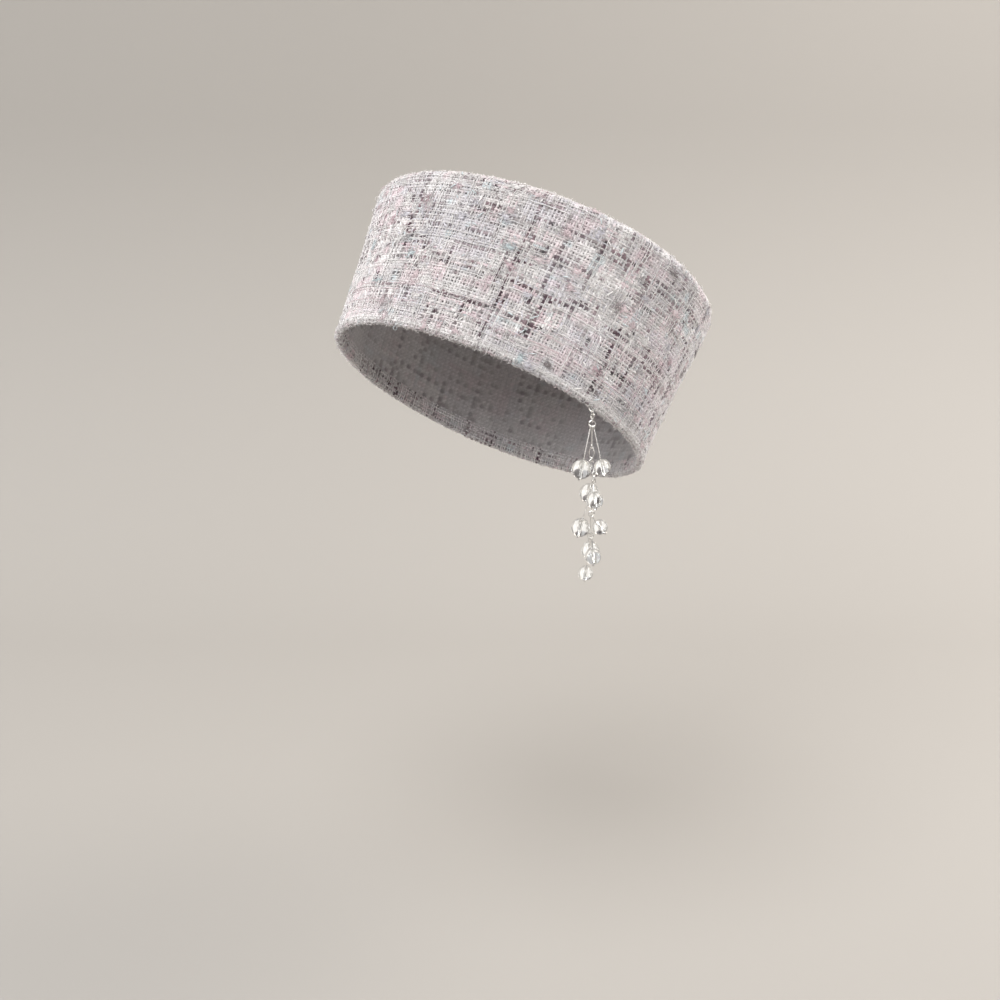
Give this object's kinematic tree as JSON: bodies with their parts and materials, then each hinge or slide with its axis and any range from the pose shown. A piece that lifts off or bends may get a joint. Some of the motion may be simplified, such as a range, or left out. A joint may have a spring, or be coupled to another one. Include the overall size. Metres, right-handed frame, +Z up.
{
  "type": "pillbox hat with bead drop",
  "caption": "Round brimless hat of bouclé tweed with straight sides and an open oval hollow, worn tilted back, with a wired drop of clear glass beads at its left rim.",
  "frame": {"origin": "middle of the oval head opening, in the plane of the rim, where the hat sits on a head", "axes": "+X to the wearer's left, -Y to the front, +Z up as worn; the hat's own axis leans back 34.1 degrees from +Z towards +Y"},
  "size_m": [0.2003, 0.2148, 0.2109],
  "materials": {
    "tweed": "looped bouclé tweed of ivory, pale pink, grey and plum yarns",
    "silver_wire": "thin polished silver-coloured wire",
    "clear_glass": "clear polished glass"
  },
  "bodies": {
    "hat": {"side_band": "tweed", "crown_top": "tweed", "rim_ring": "silver_wire"},
    "drop": {"link_1": "silver_wire", "link_2": "silver_wire", "link_3": "silver_wire", "main_ring": "silver_wire", "bar_1": "silver_wire", "diamond_link": "silver_wire", "small_ring": "silver_wire", "bar_2": "silver_wire", "ring_2": "silver_wire", "bar_3": "silver_wire", "ring_3": "silver_wire", "bar_4": "silver_wire", "ring_4": "silver_wire", "pin_1": "silver_wire", "pin_2": "silver_wire", "pin_3": "silver_wire", "pin_4": "silver_wire", "pin_5": "silver_wire", "pin_6": "silver_wire", "pin_7": "silver_wire", "pin_8": "silver_wire", "pin_9": "silver_wire", "bead_1": "clear_glass", "bead_2": "clear_glass", "bead_3": "clear_glass", "bead_4": "clear_glass", "bead_5": "clear_glass", "bead_6": "clear_glass", "bead_7": "clear_glass", "bead_8": "clear_glass", "bead_9": "clear_glass"}
  },
  "joints": [
    {"name": "drop_swing", "type": "hinge", "parent": "hat", "child": "drop", "pos_m": [0.08387, -0.01832, 0.01081], "axis": [-0.1669, -0.986, 0], "range_deg": [-40, 75]}
  ]
}
